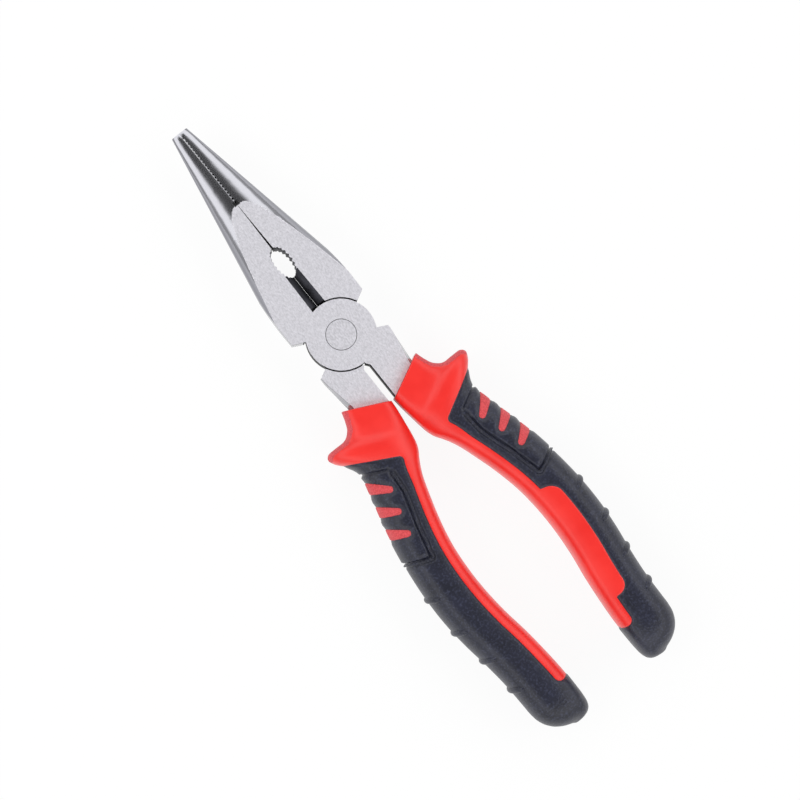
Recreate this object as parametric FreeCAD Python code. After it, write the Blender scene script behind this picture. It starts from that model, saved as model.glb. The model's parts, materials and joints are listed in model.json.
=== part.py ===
"""Long-nose combination pliers with a lap joint and two-material grips.

Two identical steel forgings cross at a flush rivet.  Each forging is a half-round nose, a toothed
pipe grip, a bevelled side cutter, a half-thickness lap disc, a shank and a tang.  Each tang carries
a hard red sleeve with a thumb guard, and a soft grey cover moulded over the sleeve.

The work is done about the pivot: +Y to the tips, +X to the right, +Z up, z = 0 in the lap plane.
One forging and one grip are modelled, and the other of each is the same piece turned half a turn
about the Y axis.  Placing the finished pieces puts the origin on the floor under the middle.
"""

import FreeCAD
import Part
import math
import os

from FreeCAD import Vector

# ---------------------------------------------------------------- driving dimensions, millimetres
OVERALL_LENGTH = 199.0        # tips to grip ends
TIP_REACH = 72.8              # pivot to tips
HEAD_WIDTH = 25.4             # across both jaws at the shoulders
TIP_WIDTH = 5.2               # across both jaws at the tips
HEAD_THICKNESS = 10.4         # between the two ground faces
TIP_THICKNESS = 3.2
FLAT_END = 46.0               # where the round nose leaves the ground face, from the pivot
TAPER_START = 21.5            # where the cheeks turn into the taper, from the pivot
CHEEK_BULGE = 0.5             # how far the cheeks swell between the shoulders and the taper
CHEEK_SHARES = (0.8, 0.55, 0.3, 0.14)  # corners of the cheek's outline, as shares of TAPER_START

DISC_RADIUS = 10.1            # lap disc
DISC_GAP = 0.42               # round the disc
LAP_GAP = 0.10                # between the two laps
STOP_ANGLE = 26.5             # shoulders, above and below the X axis

RIVET_RADIUS = 3.4            # shank of the rivet
RIVET_HEAD_RADIUS = 4.45      # flush head, in a countersink
RIVET_HEAD_DEPTH = 1.5
RIVET_HEAD_RIM = 0.4          # straight rim of the head at the ground face
RIVET_PRESS_CLEARANCE = 0.01  # in the forging that holds it
RIVET_RUN_CLEARANCE = 0.05    # in the forging that turns on it

JAW_FACE_GAP = 0.03           # each jaw face from the centre plane, at the tips
JAW_RELIEF = 0.30             # the same at the pipe grip
NOSE_PLAIN_TIP = 1.6          # without teeth, at the tips
NOSE_TOOTH_PITCH = 1.1
NOSE_TOOTH_DEPTH = 0.28
NOSE_TOOTH_COUNT = 22
PIPE_TOP = 30.8               # pipe grip, from the pivot
PIPE_LENGTH = 9.6
PIPE_HALF_WIDTH = 2.75
PIPE_TOOTH_COUNT = 10
PIPE_TOOTH_DEPTH = 0.5
PIPE_END_DEPTH_SHARE = 0.3    # how much of a tooth's depth is left at the oval's two ends
PIPE_ROUNDNESS = 0.8          # 1 gives an ellipse, less gives fuller ends
CUTTER_TOP = 21.2
CUTTER_FOOT = 2.0             # where the bevels end, in the lap disc
CUTTER_BEVEL_WIDTH = 2.50     # on the ground face
CUTTER_TOP_SLANT = 1.1        # the bevels run out this far past the cutting edge
CUTTER_TOP_NARROWING = 0.35
CUTTER_EDGE_FLAT = 0.15       # half the blunt left at the cutting edge

SHANK_GAP = 1.2               # each shank from the centre plane
SLOT_TOP_HALF_WIDTH = 0.3     # the slot between the shanks narrows to this at the lap disc
SHANK_ROOT_SHARE = 0.8        # the shank starts at this share of the disc's radius
SHANK_SHOULDER_INSET = 0.45   # shoulder corner inside the head's half width
SHANK_SIDE_START = 8.0        # where the shank's side turns in, behind the pivot
SHANK_CHAMFER = 1.25          # widest lean of the side, at the collar
SHANK_LEAN_SHARES = (0.0, 0.2, 0.3, 1.0)  # of that lean, from the disc to the collar
SHANK_SIDE_WALL = 2.2         # collar outside the shank, at the collar's front
NECK_DEPTH = 5.0              # how far the neck goes into the collar before the tang
NECK_SIDE_WALL = 4.2
NECK_STEP = 0.6               # the neck is thinner than the head by this on each face
NECK_STEP_GAP = 0.1           # the ground face stops this far in front of the collar
TANG_WALL = 2.9               # sleeve wall beside the tang
TANG_HALF_HEIGHT = 3.2
TANG_ROOT_STEP = 0.8          # the tang's root is thinner than the neck by this on each face
TANG_CLEARANCE = 0.05

GRIP_HALF_HEIGHT = 9.0        # guard ridge and palm swell, where the pliers lie on a table
COLLAR_HALF_HEIGHT = 7.2
COVER_THICKNESS = 1.8
BAND_WIDTH = 4.1              # red band left bare along the inner edge
PANEL_WIDTH = 7.6             # bare red panel, from the inner edge
STRIPE_COUNT = 3
STRIPE_PITCH = 7.1
STRIPE_ROOT_WIDTH = 3.0
STRIPE_TIP_RADIUS = 0.65
STRIPE_LEAN = 37.0            # degrees off the X axis
STRIPE_FIRST = (20.9, -39.3)  # middle of the first stripe
STRIPE_SIDE_STEP = 1.75       # each stripe is this much further out than the one before
STRIPE_OUTWARD, STRIPE_INWARD = 4.0, 6.0
COVER_START = 14.9            # the cover starts this far behind the collar's front
COLLAR_SLOPE = 26.0           # the collar and guard lie square to the neck, this far off the X axis

# ---------------------------------------------------------------- what follows from them
HALF_THICKNESS = HEAD_THICKNESS / 2
REAR_REACH = OVERALL_LENGTH - TIP_REACH
PIVOT_Y = (REAR_REACH - TIP_REACH) / 2
STATION_REACH = 126.2                  # the length behind the pivot that the stations are given for
LENGTH_SCALE = REAR_REACH / STATION_REACH
HALF_WIDTH = HEAD_WIDTH / 2
NECK_HALF_THICKNESS = HALF_THICKNESS - NECK_STEP
FAR = OVERALL_LENGTH                   # further out than any piece
CUT_MARGIN = 1.0                       # how far a cutting shape runs past the piece it cuts

SLOPE = math.radians(COLLAR_SLOPE)
ACROSS = Vector(math.cos(SLOPE), math.sin(SLOPE), 0)     # along the collar, outwards
BACK = Vector(math.sin(SLOPE), -math.cos(SLOPE), 0)      # square to it, towards the grip's end
COLLAR_CORNER = Vector(0.45, -23.3 * LENGTH_SCALE, 0)    # inner front corner of the right collar
COLLAR_WIDTH = 14.3

# Guard zone: distance back from the collar's front, inner and outer edge along ACROSS, half height.
GUARD_STATIONS = [
    (0.0, 0.0, COLLAR_WIDTH, COLLAR_HALF_HEIGHT),
    (2.8, -1.1, 13.9, COLLAR_HALF_HEIGHT + 0.1),
    (5.7, -2.1, 14.0, COLLAR_HALF_HEIGHT + 0.3),
    (8.1, -2.9, 15.4, COLLAR_HALF_HEIGHT + 0.8),
    (9.6, -3.4, 18.3, GRIP_HALF_HEIGHT - 0.45),
    (10.9, -3.8, 20.6, GRIP_HALF_HEIGHT - 0.1),
    (12.4, -4.2, 21.0, GRIP_HALF_HEIGHT),
    (13.8, -4.4, 19.6, GRIP_HALF_HEIGHT - 0.1),
    (15.3, -4.4, 16.5, GRIP_HALF_HEIGHT - 0.4),
    (17.4, -4.1, 13.7, GRIP_HALF_HEIGHT - 0.7),
]

# Handle zone: outer point, inner point, half height.
HANDLE_STATIONS = [
    ((21.3, -39.5), (6.4, -44.5), GRIP_HALF_HEIGHT - 0.8),
    ((23.3, -47.0), (8.6, -50.8), GRIP_HALF_HEIGHT - 0.6),
    ((25.2, -55.0), (10.6, -57.6), GRIP_HALF_HEIGHT - 0.35),
    ((26.6, -63.5), (12.2, -65.0), GRIP_HALF_HEIGHT - 0.1),
    ((27.5, -72.5), (13.0, -73.0), GRIP_HALF_HEIGHT),
    ((27.65, -81.5), (13.05, -81.0), GRIP_HALF_HEIGHT),
    ((27.0, -90.0), (12.4, -89.3), GRIP_HALF_HEIGHT - 0.1),
    ((25.9, -98.0), (11.3, -97.0), GRIP_HALF_HEIGHT - 0.25),
    ((25.1, -106.0), (10.5, -105.2), GRIP_HALF_HEIGHT - 0.35),
    ((24.85, -113.5), (10.05, -113.0), GRIP_HALF_HEIGHT - 0.4),
    ((24.6, -118.4), (10.2, -119.2), GRIP_HALF_HEIGHT - 0.8),
    ((23.0, -122.0), (10.9, -123.2), GRIP_HALF_HEIGHT - 2.6),
    ((20.4, -125.1), (12.6, -126.2), GRIP_HALF_HEIGHT - 5.4),
]
TANG_ROOT_STATIONS = [(2.0, -1.0), (9.0, -3.0)]      # distance back, inner edge
TANG_ROOT_INSET = 1.1         # the root's outer edge inside the collar's
NECK_INNER_EDGE = 0.6         # along ACROSS, where the neck meets the tang
BAND_END_STATION = 9          # the red band and the tang end here
COVERED_GUARD_STATIONS = 4    # how many guard stations the cover reaches over
SOLID_END_STATIONS = 1        # the last stations are all cover, with no sleeve inside
PANEL_FIRST, PANEL_LAST = 4, 7
PANEL_START_SHARE = 0.55      # the panel starts this far along the way to its first station
PANEL_END_SHARE = 0.85        # and ends this far along the way past its last one
OUTER_RADIUS = 6.6            # corners of the grip's sections
INNER_RADIUS = 4.6
ROUND_SHARE = 0.94            # the most of a section's half size that a corner may take
CROWN_POINTS = 16
CROWN_POWER = 2.5
CROWN_MARGIN = 0.25           # the crown's side stands this far outside the jaw's outline
CROWN_FOOT = -2.0             # the crown's wide end, behind the pivot


# ---------------------------------------------------------------- helpers
def superellipse(centre, half_across, half_height):
    """A closed wire square to the Y axis, between an ellipse and a rectangle in shape."""
    points = []
    for i in range(CROWN_POINTS):
        angle = 2 * math.pi * i / CROWN_POINTS
        c, s = math.cos(angle), math.sin(angle)
        a = half_across * math.copysign(abs(c) ** (2 / CROWN_POWER), c)
        h = half_height * math.copysign(abs(s) ** (2 / CROWN_POWER), s)
        points.append(centre + Vector(a, 0, h))
    curve = Part.BSplineCurve()
    curve.interpolate(Points=points, PeriodicFlag=True)
    return Part.Wire([curve.toShape()])


def rounded_section(outer, inner, half_height, outer_radius, inner_radius):
    """A closed upright section from the inner to the outer point, its corners rounded by arcs."""
    middle = (outer + inner) / 2
    along = (outer - inner).normalize()
    half_across = (outer - inner).Length / 2
    room = ROUND_SHARE * min(half_across, half_height)
    ro, ri = min(outer_radius, room), min(inner_radius, room)

    def at(a, h):
        return middle + along * a + Vector(0, 0, h)

    def corner(a, h, r):
        """Start, middle and end of one corner arc, walking anticlockwise."""
        sa, sh = math.copysign(1, a), math.copysign(1, h)
        flat = r * (1 - math.sqrt(0.5))
        ends = [at(a, h - sh * r), at(a - sa * r, h)]
        if sa * sh < 0:
            ends.reverse()
        return ends[0], at(a - sa * flat, h - sh * flat), ends[1]

    corners = [
        corner(half_across, half_height, ro), corner(-half_across, half_height, ri),
        corner(-half_across, -half_height, ri), corner(half_across, -half_height, ro),
    ]
    edges = []
    for this, following in zip(corners, corners[1:] + corners[:1]):
        edges.append(Part.Arc(*this).toShape())
        edges.append(Part.makeLine(this[2], following[0]))
    return Part.Wire(edges)


def polygon_prism(points, low, high):
    """An upright prism on a closed outline of (x, y) points."""
    corners = [Vector(x, y, low) for x, y in points]
    face = Part.Face(Part.makePolygon(corners + corners[:1]))
    return face.extrude(Vector(0, 0, high - low))


def mirrored_in_z(shape):
    return shape.mirror(Vector(0, 0, 0), Vector(0, 0, 1))


def ruled_half(outline_mid, outline_face):
    """A solid with drafted sides: one outline at the lap plane, another at each ground face."""
    wires = []
    for outline, z in ((outline_mid, 0.0), (outline_face, HALF_THICKNESS)):
        corners = [Vector(x, y, z) for x, y in outline]
        wires.append(Part.makePolygon(corners + corners[:1]))
    top = Part.makeLoft(wires, True, True)
    return top.fuse(mirrored_in_z(top)).removeSplitter()


def turned_over(shape):
    """The same piece as the other half of the pliers: half a turn about the Y axis."""
    copy = shape.copy()
    copy.rotate(Vector(0, 0, 0), Vector(0, 1, 0), 180)
    return copy


# ---------------------------------------------------------------- forging: nose and jaw
def jaw_outer(y):
    """Half width of the closed jaws at y, in the lap plane."""
    narrow = HALF_WIDTH - CHEEK_BULGE
    if y >= TAPER_START:
        share = (TIP_REACH - y) / (TIP_REACH - TAPER_START)
        return TIP_WIDTH / 2 + (narrow - TIP_WIDTH / 2) * share
    bend = (y - TAPER_START / 2) / (TAPER_START / 2)
    return HALF_WIDTH - CHEEK_BULGE * bend ** 2


def nose_crown():
    """The cone that rounds the nose; the ground faces cut it behind FLAT_END."""
    crown_slope = (HALF_THICKNESS - TIP_THICKNESS / 2) / (TIP_REACH - FLAT_END)
    side_slope = (jaw_outer(FLAT_END) - TIP_WIDTH / 2) / (TIP_REACH - FLAT_END)
    wires = []
    for y in (TIP_REACH + CUT_MARGIN, CROWN_FOOT):
        half_across = TIP_WIDTH / 2 + CROWN_MARGIN + side_slope * (TIP_REACH - y)
        half_height = TIP_THICKNESS / 2 + crown_slope * (TIP_REACH - y)
        wires.append(superellipse(Vector(0, y, 0), half_across, half_height))
    return Part.makeLoft(wires, True, True)


def jaw_face_profile():
    """The left jaw's inner edge from the tip down: nose teeth, relief, pipe grip, cutting edge."""
    points = [(-JAW_FACE_GAP, TIP_REACH + CUT_MARGIN)]
    y = TIP_REACH - NOSE_PLAIN_TIP
    for _ in range(NOSE_TOOTH_COUNT):
        points.append((-JAW_FACE_GAP, y))
        points.append((-JAW_FACE_GAP - NOSE_TOOTH_DEPTH, y - NOSE_TOOTH_PITCH / 2))
        y -= NOSE_TOOTH_PITCH
    points.append((-JAW_FACE_GAP, y))
    points.append((-JAW_RELIEF, PIPE_TOP))
    centre_y = PIPE_TOP - PIPE_LENGTH / 2
    steps = 2 * PIPE_TOOTH_COUNT
    for i in range(1, steps):
        angle = math.pi * i / steps
        depth = 0.0 if i % 2 else PIPE_TOOTH_DEPTH
        points.append((
            -(PIPE_HALF_WIDTH - depth) * math.sin(angle) ** PIPE_ROUNDNESS,
            centre_y + (PIPE_LENGTH / 2 - depth * PIPE_END_DEPTH_SHARE) * math.cos(angle),
        ))
    points.append((-JAW_FACE_GAP, CUTTER_TOP))
    points.append((-JAW_FACE_GAP, 0.0))
    return points


def cutter_bevels():
    """The two bevels that leave the cutting edge, with their slanted upper ends."""
    rows = []
    ends = (
        (CUTTER_TOP + CUTTER_TOP_SLANT, CUTTER_BEVEL_WIDTH - CUTTER_TOP_NARROWING),
        (CUTTER_FOOT, CUTTER_BEVEL_WIDTH),
    )
    for y, width in ends:
        corners = [
            Vector(CUT_MARGIN, y, CUTTER_EDGE_FLAT),
            Vector(-JAW_FACE_GAP, y, CUTTER_EDGE_FLAT),
            Vector(-width, y, HALF_THICKNESS),
            Vector(-width, y, HALF_THICKNESS + CUT_MARGIN),
            Vector(CUT_MARGIN, y, HALF_THICKNESS + CUT_MARGIN),
        ]
        rows.append(Part.makePolygon(corners + corners[:1]))
    bevel = Part.makeLoft(rows, True, True)
    return bevel.fuse(mirrored_in_z(bevel))


def left_jaw():
    """One jaw from its tip to its shoulder, with the nose, pipe grip and cutter shaped."""
    stop = math.radians(STOP_ANGLE)
    reach = HALF_WIDTH + CUT_MARGIN
    ys = [TIP_REACH, TAPER_START] + [share * TAPER_START for share in CHEEK_SHARES]
    outline = [(-jaw_outer(y), y) for y in ys] + [(0.0, ys[-1]), (0.0, TIP_REACH)]
    prism = polygon_prism(outline, -HALF_THICKNESS, HALF_THICKNESS)
    jaw = prism.common(nose_crown())
    below = -DISC_RADIUS
    shoulder = polygon_prism(
        [(0.0, 0.0), (-reach, reach * math.tan(stop)), (-reach, below), (0.0, below)], -FAR, FAR
    )
    profile = jaw_face_profile()
    inner = polygon_prism(profile + [(FAR, 0.0), (FAR, TIP_REACH + CUT_MARGIN)], -FAR, FAR)
    return jaw.cut(shoulder).cut(inner).cut(cutter_bevels())


# ---------------------------------------------------------------- forging: shank and tang
def guard_point(back, across):
    """A point of the guard zone: back from the collar's front, and across it, outwards."""
    return COLLAR_CORNER + BACK * (back * LENGTH_SCALE) + ACROSS * across


def collar_zone(low):
    """Everything behind the collar's front that is higher than low."""
    front = -NECK_STEP_GAP / LENGTH_SCALE
    sides = [(front, -FAR), (front, FAR), (FAR, FAR), (FAR, -FAR)]
    corners = [guard_point(back, across) for back, across in sides]
    return polygon_prism([(c.x, c.y) for c in corners], low, FAR)


def right_shank(grow=0.0):
    """From the lap disc into the collar, with its side leaning in more towards the collar."""
    stop = math.radians(STOP_ANGLE)
    start = DISC_RADIUS * SHANK_ROOT_SHARE
    corner_x = HALF_WIDTH - SHANK_SHOULDER_INSET
    at_collar = guard_point(0.0, COLLAR_WIDTH - SHANK_SIDE_WALL)
    neck_outer = guard_point(NECK_DEPTH, COLLAR_WIDTH - NECK_SIDE_WALL)
    neck_inner = guard_point(NECK_DEPTH, NECK_INNER_EDGE)
    slot_top = -DISC_RADIUS - DISC_GAP
    middle = [
        (start * math.cos(stop), -start * math.sin(stop)),
        (corner_x + grow, -corner_x * math.tan(stop)),
        (corner_x + grow, -SHANK_SIDE_START),
        (at_collar.x + grow, at_collar.y),
        (neck_outer.x + grow, neck_outer.y - grow),
        (neck_inner.x - grow, neck_inner.y - grow),
        (SHANK_GAP - grow, COLLAR_CORNER.y),
        (SHANK_GAP - grow, slot_top - SHANK_GAP),
        (SLOT_TOP_HALF_WIDTH - grow, slot_top),
        (SLOT_TOP_HALF_WIDTH - grow, -start * math.sin(stop)),
    ]
    lean = [SHANK_CHAMFER * share for share in SHANK_LEAN_SHARES]
    lean += [0.0] * (len(middle) - len(lean))
    face = [(x - inset, y) for (x, y), inset in zip(middle, lean)]
    shank = ruled_half(middle, face)
    above = collar_zone(NECK_HALF_THICKNESS + grow)
    return shank.cut([above, mirrored_in_z(above)])


def grip_stations():
    """Every station of the grip as (outer point, inner point, half height), front to back."""
    rows = []
    for back, inner, outer, height in GUARD_STATIONS:
        rows.append((guard_point(back, outer), guard_point(back, inner), min(height, GRIP_HALF_HEIGHT)))
    for (ox, oy), (ix, iy), height in HANDLE_STATIONS:
        rows.append((Vector(ox, oy * LENGTH_SCALE, 0), Vector(ix, iy * LENGTH_SCALE, 0), height))
    return rows


def station_loft(rows, inset, heights, ruled):
    """A solid through the stations, a fixed depth inside the grip's skin."""
    wires = []
    for (outer, inner, _), height in zip(rows, heights):
        along = (outer - inner).normalize()
        a = outer - along * inset
        b = inner + along * inset
        wires.append(rounded_section(a, b, height, OUTER_RADIUS - inset, INNER_RADIUS - inset))
    return Part.makeLoft(wires, True, ruled)


def tang(grow=0.0):
    """The part of the forging that the sleeve is pushed on to, straight from station to station."""
    rows = grip_stations()
    guard_end = len(GUARD_STATIONS)
    root = [
        (guard_point(back, COLLAR_WIDTH - TANG_ROOT_INSET), guard_point(back, inner), 0)
        for back, inner in TANG_ROOT_STATIONS
    ]
    body = root + rows[guard_end - 1:guard_end + BAND_END_STATION + 1]
    heights = [NECK_HALF_THICKNESS - TANG_ROOT_STEP + grow] * len(root)
    heights += [TANG_HALF_HEIGHT + grow] * (len(body) - len(root))
    if grow:
        end_outer, end_inner, _ = body[-1]
        body[-1] = (end_outer + Vector(0, -grow, 0), end_inner + Vector(0, -grow, 0), 0)
    return station_loft(body, TANG_WALL - grow, heights, True)


# ---------------------------------------------------------------- forging: lap joint
def rivet_space(clearance):
    """The rivet's own solid, grown by a clearance; the heads open to the ground faces."""
    shank_r = RIVET_RADIUS + clearance
    head_r = RIVET_HEAD_RADIUS + clearance
    head_z = HALF_THICKNESS - RIVET_HEAD_DEPTH
    profile = [
        Vector(0, 0, -HALF_THICKNESS), Vector(head_r, 0, -HALF_THICKNESS),
        Vector(head_r, 0, -HALF_THICKNESS + RIVET_HEAD_RIM), Vector(shank_r, 0, -head_z),
        Vector(shank_r, 0, head_z), Vector(head_r, 0, HALF_THICKNESS - RIVET_HEAD_RIM),
        Vector(head_r, 0, HALF_THICKNESS), Vector(0, 0, HALF_THICKNESS),
    ]
    face = Part.Face(Part.makePolygon(profile + profile[:1]))
    return face.revolve(Vector(0, 0, 0), Vector(0, 0, 1), 360)


def forging(rivet_clearance):
    """Left jaw, upper lap disc and right tang in one piece."""
    up = Vector(0, 0, 1)
    lap = LAP_GAP / 2
    disc = Part.makeCylinder(DISC_RADIUS, HALF_THICKNESS - lap, Vector(0, 0, lap), up)
    lower_room = Part.makeCylinder(DISC_RADIUS + DISC_GAP, FAR, Vector(0, 0, lap), Vector(0, 0, -1))
    body = left_jaw().fuse([right_shank(), tang()])
    body = body.cut(lower_room).fuse(disc).removeSplitter()
    return body.cut(rivet_space(rivet_clearance))


# ---------------------------------------------------------------- grip
def handle_line(first, last, from_inner):
    """Points on the stations first..last of the handle zone, a fixed way in from the inner edge."""
    rows = grip_stations()[len(GUARD_STATIONS):]
    points = []
    for outer, inner, _ in rows[first:last + 1]:
        points.append(inner + (outer - inner).normalize() * from_inner)
    return points


def cover_region(with_panel):
    """Flat outline of the grey cover: behind the guard, outside the band, and round the end."""
    guard_back_outer = guard_point(COVER_START, 2 * HEAD_WIDTH)
    guard_back_inner = guard_point(COVER_START, NECK_INNER_EDGE)
    band = handle_line(0, BAND_END_STATION, BAND_WIDTH)
    chain = [guard_back_outer, guard_back_inner] + band
    if with_panel:
        panel = handle_line(PANEL_FIRST, PANEL_LAST, PANEL_WIDTH)
        before = handle_line(PANEL_FIRST - 1, PANEL_FIRST, BAND_WIDTH)
        start = before[0] + (before[1] - before[0]) * PANEL_START_SHARE
        after = handle_line(PANEL_LAST, PANEL_LAST + 1, BAND_WIDTH)
        end = after[0] + (after[1] - after[0]) * PANEL_END_SHARE
        chain = chain[:2] + band[:PANEL_FIRST] + [start] + panel + [end] + band[PANEL_LAST + 1:]
    inside = Vector(-FAR, band[-1].y, 0)
    corner = Vector(-FAR, -FAR, 0)
    far_corner = Vector(FAR, -FAR, 0)
    far_top = Vector(FAR, guard_back_outer.y, 0)
    chain += [inside, corner, far_corner, far_top]
    return Part.Face(Part.makePolygon(chain + chain[:1]))


def stripe_prisms():
    """Tapered fingers of the red sleeve that stand through windows in the cover."""
    lean = math.radians(STRIPE_LEAN)
    inward = Vector(-math.cos(lean), -math.sin(lean), 0)
    across = Vector(-inward.y, inward.x, 0)
    root_half = across * (STRIPE_ROOT_WIDTH / 2)
    tip_half = across * STRIPE_TIP_RADIUS
    solids = []
    for i in range(STRIPE_COUNT):
        x = STRIPE_FIRST[0] + STRIPE_SIDE_STEP * i
        y = (STRIPE_FIRST[1] - STRIPE_PITCH * i) * LENGTH_SCALE
        middle = Vector(x, y, -FAR)
        root = middle - inward * STRIPE_OUTWARD
        tip = middle + inward * STRIPE_INWARD
        nose = Part.Arc(tip + tip_half, tip + inward * STRIPE_TIP_RADIUS, tip - tip_half).toShape()
        edges = [
            Part.makeLine(root - root_half, root + root_half),
            Part.makeLine(root + root_half, tip + tip_half),
            nose,
            Part.makeLine(tip - tip_half, root - root_half),
        ]
        solids.append(Part.Face(Part.Wire(edges)).extrude(Vector(0, 0, 2 * FAR)))
    return solids


def grip():
    """The red sleeve and the grey cover for the right handle, panel side up."""
    rows = grip_stations()
    body = station_loft(rows, 0.0, [height for _, _, height in rows], False)
    covered = rows[len(GUARD_STATIONS) - COVERED_GUARD_STATIONS:-SOLID_END_STATIONS]
    heights = [height - COVER_THICKNESS for _, _, height in covered]
    under = station_loft(covered, COVER_THICKNESS, heights, False)
    upper = cover_region(True).extrude(Vector(0, 0, FAR))
    lower = cover_region(False).extrude(Vector(0, 0, -FAR))
    cover_room = upper.fuse(lower).cut([under] + stripe_prisms())
    sleeve = body.cut([cover_room, tang(TANG_CLEARANCE), right_shank(TANG_CLEARANCE)])
    return sleeve, body.common(cover_room)


# ---------------------------------------------------------------- build and write
def place(shape):
    moved = shape.copy()
    moved.translate(Vector(0, PIVOT_Y, GRIP_HALF_HEIGHT))
    return moved


def main():
    os.makedirs("parts", exist_ok=True)
    sleeve, cover = grip()
    pieces = {
        "left_jaw_half": forging(RIVET_PRESS_CLEARANCE),
        "right_jaw_half": turned_over(forging(RIVET_RUN_CLEARANCE)),
        "pivot_rivet": rivet_space(0.0),
        "right_grip_sleeve": sleeve,
        "right_grip_cover": cover,
        "left_grip_sleeve": turned_over(sleeve),
        "left_grip_cover": turned_over(cover),
    }
    for name, shape in pieces.items():
        piece = place(shape)
        box = piece.BoundBox
        print(name, "solids", len(piece.Solids), "valid", piece.isValid(), "volume", round(piece.Volume, 1),
              "box", [round(v, 2) for v in (box.XMin, box.XMax, box.YMin, box.YMax, box.ZMin, box.ZMax)])
        piece.exportStep("parts/" + name + ".step")


main()
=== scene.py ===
import json
import math

import bmesh
import bpy
import numpy as np
from mathutils import Matrix, Vector


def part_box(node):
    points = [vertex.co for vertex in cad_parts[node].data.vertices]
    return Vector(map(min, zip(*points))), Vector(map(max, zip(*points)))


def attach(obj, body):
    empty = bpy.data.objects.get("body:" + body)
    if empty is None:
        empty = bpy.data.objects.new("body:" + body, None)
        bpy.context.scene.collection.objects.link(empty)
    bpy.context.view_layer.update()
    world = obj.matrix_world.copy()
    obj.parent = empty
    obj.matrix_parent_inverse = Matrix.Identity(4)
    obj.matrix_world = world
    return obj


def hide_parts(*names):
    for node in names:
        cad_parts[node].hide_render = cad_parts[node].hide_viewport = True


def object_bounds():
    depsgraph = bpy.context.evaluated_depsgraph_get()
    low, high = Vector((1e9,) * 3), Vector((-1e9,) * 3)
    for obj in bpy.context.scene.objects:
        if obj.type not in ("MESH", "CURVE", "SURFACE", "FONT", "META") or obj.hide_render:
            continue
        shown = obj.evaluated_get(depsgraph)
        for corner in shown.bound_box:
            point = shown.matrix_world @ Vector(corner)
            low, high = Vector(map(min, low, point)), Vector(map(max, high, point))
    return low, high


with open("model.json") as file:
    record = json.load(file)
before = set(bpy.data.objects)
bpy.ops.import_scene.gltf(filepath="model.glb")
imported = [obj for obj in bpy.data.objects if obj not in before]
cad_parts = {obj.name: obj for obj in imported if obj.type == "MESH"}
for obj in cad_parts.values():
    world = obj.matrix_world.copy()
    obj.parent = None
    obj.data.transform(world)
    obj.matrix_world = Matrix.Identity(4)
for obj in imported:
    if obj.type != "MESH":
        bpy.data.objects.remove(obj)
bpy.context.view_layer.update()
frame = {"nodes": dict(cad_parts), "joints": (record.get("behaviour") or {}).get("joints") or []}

MM = 0.001
PIVOT = Vector(frame["joints"][0]["pos_m"])
RIGHT_GRIP_BODY = "left_jaw_lever"      # the levers cross, so the right handle drives the left jaw
LEFT_GRIP_BODY = "right_jaw_lever"

# Grip sections about the pivot, in millimetres: outer edge, inner edge, half height, and how
# square the section is.  The first rows are the collar and guard, the rest is the handle.
GRIP_SECTIONS = [
    ((13.30, -17.03), (0.45, -23.30), 7.20, 4.8),
    ((14.17, -19.73), (0.69, -26.30), 7.25, 4.5),
    ((15.53, -22.29), (1.06, -29.34), 7.50, 4.0),
    ((17.84, -23.83), (1.39, -31.85), 7.95, 3.6),
    ((21.11, -23.91), (1.60, -33.42), 8.55, 3.4),
    ((23.75, -24.08), (1.81, -34.76), 8.90, 3.1),
    ((24.76, -25.25), (2.11, -36.29), 9.00, 3.0),
    ((24.11, -27.12), (2.54, -37.63), 8.80, 3.0),
    ((21.98, -29.83), (3.19, -38.98), 8.45, 3.1),
    ((20.39, -32.94), (4.38, -40.74), 8.20, 3.2),
    ((21.3, -39.5), (6.4, -44.5), 8.2, 3.2),
    ((23.3, -47.0), (8.6, -50.8), 8.4, 3.2),
    ((25.2, -55.0), (10.6, -57.6), 8.65, 3.2),
    ((26.6, -63.5), (12.2, -65.0), 8.9, 3.2),
    ((27.5, -72.5), (13.0, -73.0), 9.0, 3.2),
    ((27.65, -81.5), (13.05, -81.0), 9.0, 3.2),
    ((27.0, -90.0), (12.4, -89.3), 8.9, 3.2),
    ((25.9, -98.0), (11.3, -97.0), 8.75, 3.2),
    ((25.1, -106.0), (10.5, -105.2), 8.65, 3.2),
    ((24.85, -113.5), (10.05, -113.0), 8.6, 3.1),
    ((24.75, -116.6), (10.05, -117.8), 8.45, 3.0),
    ((24.3, -119.2), (10.15, -121.2), 7.8, 2.9),
    ((23.2, -121.5), (10.45, -123.5), 6.6, 2.7),
    ((21.6, -123.3), (11.1, -124.9), 5.0, 2.5),
    ((19.7, -124.6), (12.1, -125.7), 3.2, 2.3),
    ((17.7, -125.5), (13.3, -126.1), 1.4, 2.2),
    ((16.4, -125.9), (14.3, -126.25), 0.35, 2.1),
]
SPINE_SHARE = 0.6             # the sections are spaced along a line this far towards the outer edge
SHORTEST_REACH = 0.8
GUARD_ROW, HANDLE_ROW = 8, 11     # between these rows the guard's form turns into the handle's
NECK_ROW = 9                  # first row behind the guard
GIRTH_ROW = 14                # its girth sets the spacing round the grip
GIRTH_TRIALS = 4001
ROW_STEP = 0.31               # spacing of the cover's mesh
SLEEVE_STEP = 0.36            # spacing of the sleeve's mesh, under it
OUTER_ROUND = 2.25            # squareness of the palm side
CENTRE_SHARE = 0.58           # where a handle section is thickest, from its inner edge

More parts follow.
